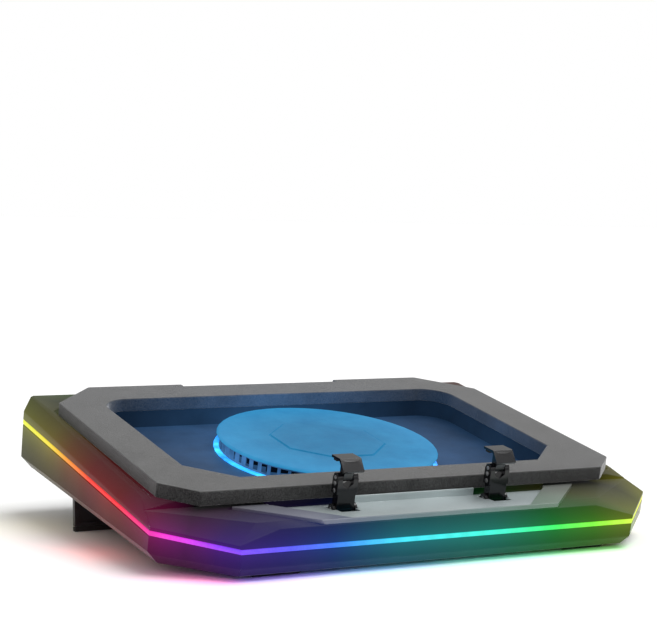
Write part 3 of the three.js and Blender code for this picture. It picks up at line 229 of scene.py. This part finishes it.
def from_fan_axis(look):
    """Each point's offset from the fan's axis, square to it, and its distance."""
    centred = look.add(
        "VectorMath", {"operation": "SUBTRACT"}, i0=look.pad_coords(), i1=(0, FAN_Y, 0),
    ).outputs[0]
    flat = look.add("VectorMath", {"operation": "MULTIPLY"}, i0=centred, i1=(1, 1, 0)).outputs[0]
    radius = look.add("VectorMath", {"operation": "LENGTH"}, i0=flat).outputs[1]
    return flat, radius


def painted_fan_light(look, strength, facing=True):
    """The fan's blue light painted as a glow on what faces it, or on a floor beside it, fading with distance."""
    flat, radius = from_fan_axis(look)
    light = look.span(radius, strength, strength * PAINTED_FAN_LEFT, PAINTED_FAN_NEAR, PAINTED_FAN_FAR)
    patches = look.span(look.noise(30.0, 4.0), 0.8, 1.2)
    light = look.math("MULTIPLY", light, patches)
    if facing:
        away = look.add("VectorMath", {"operation": "NORMALIZE"}, i0=flat).outputs[0]
        normal = look.add("TexCoord").outputs["Normal"]
        turned = look.add("VectorMath", {"operation": "DOT_PRODUCT"}, i0=normal, i1=away)
        inwards = look.math("MAXIMUM", look.math("MULTIPLY", turned.outputs[1], -1), 0)
        light = look.math("MULTIPLY", light, inwards)
    return look.scaled(PAINTED_FAN_BLUE, light)


def case_look():
    look = moulded(
        "case_plastic", (0.003, 0.003, 0.004), (0.008, 0.008, 0.009), 0.42,
        Specular_IOR_Level=0.07, Sheen_Weight=0.4, Sheen_Roughness=0.3,
    )
    # Painted light: the strip's coloured glow and the fan's blue glow on the case.
    look.painted_glow(painted_strip_light(look, 0.19, 15 * MM), painted_fan_light(look, 0.12))
    return look


def foam_look():
    """Fine-celled foam: pale specks on grey, with a pitted surface."""
    look = Look("foam", Sheen_Weight=0.8, Sheen_Roughness=0.4, Specular_IOR_Level=0.25)
    cells = look.add(
        "TexVoronoi", {"feature": "F1"}, Vector=look.coords, Scale=900.0, Randomness=1.0,
    ).outputs["Distance"]
    specks = look.noise(1100.0, 4.0, 0.7)
    patches = look.noise(60.0, 5.0, 0.6)
    shade = look.math("MULTIPLY_ADD", specks, 0.8, look.math("MULTIPLY", patches, 0.2))
    look.feed("Base Color", look.ramp(shade, ((0.40, (0.010,) * 3), (0.60, (0.065,) * 3))))
    look.feed("Roughness", look.span(cells, 0.8, 0.98))
    pits = look.math("ADD", look.math("MULTIPLY", cells, 0.5), specks)
    look.bump(pits, 0.35 * MM, 0.8)
    # Painted light: the fan's blue glow on the foam.
    look.painted_glow(painted_fan_light(look, 0.16))
    return look


def strip_look():
    """The lit strip: the rainbow, a little brighter in front of each lamp behind it."""
    look = Look("light_strip", Roughness=0.5, Specular_IOR_Level=0.1)
    lamps = look.add(
        "TexWave", {"bands_direction": "X"}, Vector=look.stretched((1, 1, 0)), Scale=22.0,
    ).outputs[1]
    specks = look.noise(700.0, 3.0)
    look.feed("Base Color", look.ramp(specks, ((0.3, (0.03,) * 3), (0.7, (0.06,) * 3))))
    look.feed("Emission Color", rainbow(look))
    look.feed("Emission Strength", look.span(lamps, 0.92, 1.02, 0.0, 1.0))
    look.bump(specks, 0.03 * MM)
    return look


def panel_look():
    """The silver panel: a fine diagonal hatch under a satin skin."""
    look = Look("silver_panel", Metallic=0.25, Coat_Weight=0.3, Coat_Roughness=0.15)
    hatch = []
    for angle in (45, -45):
        turned = look.add(
            "Mapping", Vector=look.coords, Rotation=(0, 0, math.radians(angle)),
        ).outputs[0]
        hatch.append(look.add(
            "TexWave", {"bands_direction": "X"}, Vector=turned, Scale=320.0, Distortion=0.4,
        ).outputs[1])
    weave = look.math("MULTIPLY", *hatch)
    shade = look.noise(25.0, 5.0)
    mixed = look.math("MULTIPLY_ADD", weave, 0.6, look.math("MULTIPLY", shade, 0.5))
    look.feed("Base Color", look.ramp(
        mixed, ((0.15, (0.32, 0.37, 0.38)), (0.75, (0.62, 0.70, 0.71))),
    ))
    look.feed("Roughness", look.span(weave, 0.34, 0.22, 0.0, 1.0))
    look.bump(weave, 0.03 * MM)
    return look


CAP_EDGE = 35 * MM  # from the fan's axis
COVER_EDGE = 92 * MM


def cover_look():
    """The fan's cover: dark plastic with a painted blue glow through its skin, brighter at its rim."""
    look = moulded(
        "cover_plastic", (0.003, 0.020, 0.050), (0.008, 0.045, 0.095), 0.45, depth=0.03 * MM,
        Specular_IOR_Level=0.1,
    )
    radius = from_fan_axis(look)[1]
    # Painted light: a streaky blue glow, stronger from the cap's edge out to the rim.
    streaks = look.noise(38.0, 6.0, 0.65)
    painted_glow = look.span(radius, 0.50, 0.75, CAP_EDGE, COVER_EDGE)
    look.feed("Emission Color", look.ramp(
        streaks, ((0.3, (0.025, 0.28, 0.58)), (0.7, (0.045, 0.38, 0.72))),
    ))
    look.feed("Emission Strength", painted_glow)
    return look


def well_light_look():
    """The ring that lights the fan's well blue, brighter in front of each lamp under it."""
    look = Look("well_light", Roughness=0.4)
    lamps = look.noise(55.0, 2.0)
    look.feed("Base Color", look.ramp(lamps, ((0.3, (0.01, 0.05, 0.12)), (0.7, (0.02, 0.09, 0.2)))))
    look.feed("Emission Color", look.ramp(
        lamps, ((0.3, (0.01, 0.22, 1.0)), (0.7, (0.04, 0.50, 1.0))),
    ))
    look.feed("Emission Strength", look.span(lamps, 1.2, 2.2))
    return look


def metal_look(name, dark, light, rough, stretch):
    """Plated or drawn metal: short streaks along one way, and dull spots."""
    look = Look(name, Metallic=1.0)
    streaks = look.noise(900.0, 4.0, 0.6, look.stretched(stretch))
    spots = look.noise(120.0, 5.0, 0.7)
    mixed = look.math("MULTIPLY_ADD", streaks, 0.5, look.math("MULTIPLY", spots, 0.5))
    look.feed("Base Color", look.ramp(mixed, ((0.3, dark), (0.7, light))))
    look.feed("Roughness", look.span(spots, rough, rough + 0.15))
    look.bump(streaks, 0.02 * MM)
    return look


def board_look():
    """A circuit board: rows of traces and pads under green solder mask."""
    look = Look("circuit_board", Coat_Weight=0.6, Coat_Roughness=0.2)
    traces = look.add(
        "TexBrick", {"offset": 0.5}, Vector=look.coords, Scale=160.0,
        Color1=(0.010, 0.085, 0.030, 1), Color2=(0.016, 0.120, 0.045, 1),
        Mortar=(0.42, 0.32, 0.10, 1), Mortar_Size=0.03,
    )
    look.feed("Base Color", traces.outputs[0])
    look.feed("Roughness", look.span(look.noise(300.0), 0.35, 0.55))
    look.bump(traces.outputs[1], 0.03 * MM)
    return look


def winding_look():
    """Copper wire wound side by side."""
    look = Look("copper", Metallic=1.0)
    turns = look.add(
        "TexWave", {"bands_direction": "Z"}, Vector=look.coords, Scale=420.0, Distortion=0.6,
    ).outputs[1]
    look.feed("Base Color", look.ramp(
        turns, ((0.1, (0.16, 0.055, 0.02)), (0.8, (0.62, 0.27, 0.11))),
    ))
    look.feed("Roughness", look.span(look.noise(200.0), 0.3, 0.5))
    look.bump(turns, 0.2 * MM)
    return look


def bezel_look():
    """The bezel round the silver panel: smoother and paler than the case."""
    look = moulded(
        "bezel_plastic", (0.105, 0.112, 0.118), (0.165, 0.172, 0.178), 0.34,
        Specular_IOR_Level=0.4,
    )
    # Painted light: the strip's coloured glow on the bezel.
    look.painted_glow(painted_strip_light(look, 0.14, 18 * MM))
    return look


def fan_deck_look():
    """The floor of the well, with the light ring's blue light painted on as a glow."""
    look = moulded(
        "fan_deck_plastic", (0.006, 0.009, 0.016), (0.014, 0.020, 0.032), 0.5,
        Specular_IOR_Level=0.1,
    )
    look.painted_glow(painted_fan_light(look, 0.16, facing=False))
    return look


def fan_grille_look():
    """The finned ring under the cover, with light from inside painted on as a blue glow."""
    look = moulded(
        "fan_grille_plastic", (0.006, 0.012, 0.024), (0.014, 0.026, 0.045), 0.45,
        Specular_IOR_Level=0.15,
    )
    look.painted_glow(look.scaled(PAINTED_FAN_BLUE, look.span(look.noise(45.0, 3.0), 0.10, 0.45)))
    return look


LOOKS = {
    "case": case_look(),
    "light_strip": strip_look(),
    "well_light": well_light_look(),
    "circuit_board": board_look(),
    "foam": foam_look(),
    "silver_panel": panel_look(),
    "fan_plastic": moulded(
        "fan_plastic", (0.008, 0.011, 0.018), (0.018, 0.024, 0.036), 0.45,
        Specular_IOR_Level=0.15,
    ),
    "cover_plastic": cover_look(),
    "steel": metal_look("steel", (0.30, 0.30, 0.31), (0.62, 0.62, 0.63), 0.25, (1, 1, 6)),
    "copper": winding_look(),
    "stop_plastic": moulded(
        "stop_plastic", (0.003, 0.003, 0.004), (0.008, 0.008, 0.010), 0.30,
        Specular_IOR_Level=0.0, Coat_Weight=0.9, Coat_Roughness=0.14,
    ),
    "leg_plastic": moulded("leg_plastic", (0.010, 0.009, 0.010), (0.022, 0.020, 0.021), 0.36),
    "rubber": moulded(
        "rubber", (0.008, 0.008, 0.008), (0.018, 0.018, 0.018), 0.85,
        grain=800, depth=0.12 * MM,
    ),
}
NODE_LOOKS = {
    "control_bezel": bezel_look(),
    "fan_deck": fan_deck_look(),
    "fan_grille": fan_grille_look(),
}

# ---- fine surfaces round the CAD pieces ----

EDGES = {  # width of the rounded edges of each piece, in mm
    "lower_shell": 0.5, "upper_shell": 0.45, "light_diffuser": 0.7, "foam_seal": 1.1,
    "control_bezel": 0.5, "control_panel": 0.3, "fan_cover": 0.5, "hub_cap": 0.4,
    "fan_grille": 0.2, "fan_light_ring": 0.4, "impeller": 0.25, "motor_mount": 0.4,
    "fan_deck": 0.3, "intake_grille": 0.3, "dust_filter": 0.3, "led_board": 0.15,
}
SMALL_EDGE = 0.22
SHARP = math.radians(20)  # edges that turn by more than this are rounded
FLAT = math.radians(0.2)  # faces that turn by less than this are one face
SAME_PLACE = 1e-6


def merged_mesh(node):
    """A bmesh of a CAD node with its corners merged and its flat faces whole."""
    mesh = bmesh.new()
    mesh.from_mesh(frame["nodes"][node].data)
    bmesh.ops.remove_doubles(mesh, verts=mesh.verts, dist=SAME_PLACE)
    bmesh.ops.dissolve_limit(mesh, angle_limit=FLAT, verts=mesh.verts, edges=mesh.edges)
    bmesh.ops.triangulate(mesh, faces=mesh.faces)
    return mesh


SHOULDER_X = 207 * MM  # the soft ridge along each side of the case
SHOULDER_ROUNDING = 4.0  # in mm, as in EDGES
UPPER_ROUNDING = 0.9  # of the upper shell's other long edges, above UPPER_LOW
UPPER_LOW = 3 * MM
LOWER_ROUNDING = 1.4  # of the lower shell's long edges, below LOWER_HIGH
LOWER_HIGH = -8 * MM
LONG_EDGE = 30 * MM


def edge_width(node, edge):
    """How wide this edge's rounding is, in mm."""
    low, high = (TO_PAD @ corner.co for corner in edge.verts)
    middle = (low + high) / 2
    long = edge.calc_length() > LONG_EDGE
    if node == "upper_shell" and long and middle.z > UPPER_LOW:
        if abs(abs(middle.x) - SHOULDER_X) < 2 * MM and abs(low.x - high.x) < MM:
            return SHOULDER_ROUNDING
        return UPPER_ROUNDING
    if node == "lower_shell" and long and middle.z < LOWER_HIGH:
        return LOWER_ROUNDING
    return EDGES.get(node, SMALL_EDGE)


def fine(node, segments=2):
    """A new piece with the CAD node's shape and rounded edges, standing for that node."""
    mesh = merged_mesh(node)
    widths = {
        edge.index: edge_width(node, edge) for edge in mesh.edges
        if len(edge.link_faces) == 2 and edge.calc_face_angle(0) > SHARP
    }
    widest = max(widths.values())
    weights = mesh.edges.layers.float.new("bevel_weight_edge")
    mesh.edges.ensure_lookup_table()
    for index, width in widths.items():
        mesh.edges[index][weights] = width / widest
    data = bpy.data.meshes.new(node + "_fine")
    mesh.to_mesh(data)
    mesh.free()
    piece = bpy.data.objects.new(node + "_fine", data)
    bpy.context.scene.collection.objects.link(piece)
    bevel = piece.modifiers.new("rounded", "BEVEL")
    bevel.limit_method = "WEIGHT"
    bevel.width = widest * MM
    bevel.segments = segments
    bevel.use_clamp_overlap = False
    bevel.harden_normals = True
    data.shade_smooth()
    normals = piece.modifiers.new("flats", "WEIGHTED_NORMAL")
    normals.keep_sharp = True
    look = NODE_LOOKS.get(node, LOOKS[SLOT_OF[node]])
    data.materials.append(look.material)
    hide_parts(node)
    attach(piece, BODY_OF[node])
    return piece


pieces = {node: fine(node, 3 if node == "foam_seal" else 2) for node in sorted(SLOT_OF)}

# ---- light ----


def aimed(obj, target):
    direction = Vector(target) - obj.location
    obj.rotation_euler = direction.to_track_quat("-Z", "Y").to_euler()


def softbox(name, place, target, size, power, colour):
    light = bpy.data.lights.new(name, "AREA")
    light.shape = "RECTANGLE"
    light.size, light.size_y = size
    light.energy = power
    light.color = colour
    lamp = bpy.data.objects.new(name, light)
    bpy.context.scene.collection.objects.link(lamp)
    lamp.location = place
    aimed(lamp, target)
    return lamp


# A wide soft key from above and to the right.
KEY_POWER = 2.5
KEY_SPREAD = math.radians(50)
sun = bpy.data.lights.new("key", "SUN")
sun.energy = KEY_POWER
sun.angle = KEY_SPREAD
key = bpy.data.objects.new("key", sun)
bpy.context.scene.collection.objects.link(key)
key.location = (0.7, -0.25, 1.6)
aimed(key, (0, 0, 0))

# The light strip's own light on the floor, one lamp for each stretch of colour.
STRIP_LAMPS = (  # place along the strip, in mm in the pad's frame, and the colour there
    (-232, 90, (0.45, 0.34, 0.02)), (-232, -30, (1.00, 0.05, 0.03)),
    (-205, -150, (1.00, 0.02, 0.35)), (-140, -180, (0.25, 0.05, 1.00)),
    (-50, -180, (0.03, 0.45, 1.00)), (50, -180, (0.03, 1.00, 0.60)),
    (140, -180, (0.10, 1.00, 0.05)), (225, -60, (1.00, 0.90, 0.04)),
)
STRIP_LAMP_SIZE = (90 * MM, 20 * MM)
STRIP_LAMP_POWER = 0.018
STRIP_LAMP_AIM = Vector((0, 0, -60 * MM))
for number, (x, y, colour) in enumerate(STRIP_LAMPS):
    spot = Vector((x * MM, y * MM, 0))
    lamp = softbox(
        f"strip_{number}", PAD @ spot, PAD @ (spot + STRIP_LAMP_AIM), STRIP_LAMP_SIZE,
        STRIP_LAMP_POWER, colour,
    )
    lamp.visible_camera = False

# The room is white to the camera and dimmer to the object.
ROOM_LIGHT = 0.55
ROOM_SEEN = 1.0
world = bpy.data.worlds.new("studio")
world.use_nodes = True
world_nodes = world.node_tree.nodes
background = world_nodes["Background"]
background.inputs[0].default_value = (1.0, 1.0, 1.0, 1.0)
rays = world_nodes.new("ShaderNodeLightPath")
dimmer = world_nodes.new("ShaderNodeMapRange")
dimmer.inputs["To Min"].default_value = ROOM_LIGHT
dimmer.inputs["To Max"].default_value = ROOM_SEEN
world.node_tree.links.new(rays.outputs["Is Camera Ray"], dimmer.inputs["Value"])
world.node_tree.links.new(dimmer.outputs[0], background.inputs[1])
bpy.context.scene.world = world
bpy.context.scene.view_settings.view_transform = "Standard"

# ---- floor ----

floor_mesh = bpy.data.meshes.new("floor")
FLOOR_HALF = 12.0
floor_mesh.from_pydata(
    [(-FLOOR_HALF, -FLOOR_HALF, 0), (FLOOR_HALF, -FLOOR_HALF, 0),
     (FLOOR_HALF, FLOOR_HALF, 0), (-FLOOR_HALF, FLOOR_HALF, 0)],
    [], [(0, 1, 2, 3)],
)
floor = bpy.data.objects.new("floor", floor_mesh)
bpy.context.scene.collection.objects.link(floor)
floor_look = Look("floor", Roughness=0.75, Specular_IOR_Level=0.15)
floor_look.feed("Base Color", floor_look.ramp(
    floor_look.noise(3.0, 4.0), ((0.3, (0.90,) * 3), (0.7, (0.94,) * 3)),
))
floor_mesh.materials.append(floor_look.material)

# ---- camera ----

CAMERA_PLACE = Vector((-0.7174, -1.2511, 0.2680))
CAMERA_BACK = Vector((-0.4881, -0.8703, 0.0661))
CAMERA_ROLL = math.radians(1.57)
camera_data = bpy.data.cameras.new("camera")
camera_data.sensor_width = 36.0
camera_data.lens = 99.87
camera = bpy.data.objects.new("camera", camera_data)
bpy.context.scene.collection.objects.link(camera)
camera.matrix_world = (
    Matrix.Translation(CAMERA_PLACE)
    @ (-CAMERA_BACK).to_track_quat("-Z", "Y").to_matrix().to_4x4()
    @ Matrix.Rotation(CAMERA_ROLL, 4, "Z")
)
bpy.context.scene.camera = camera
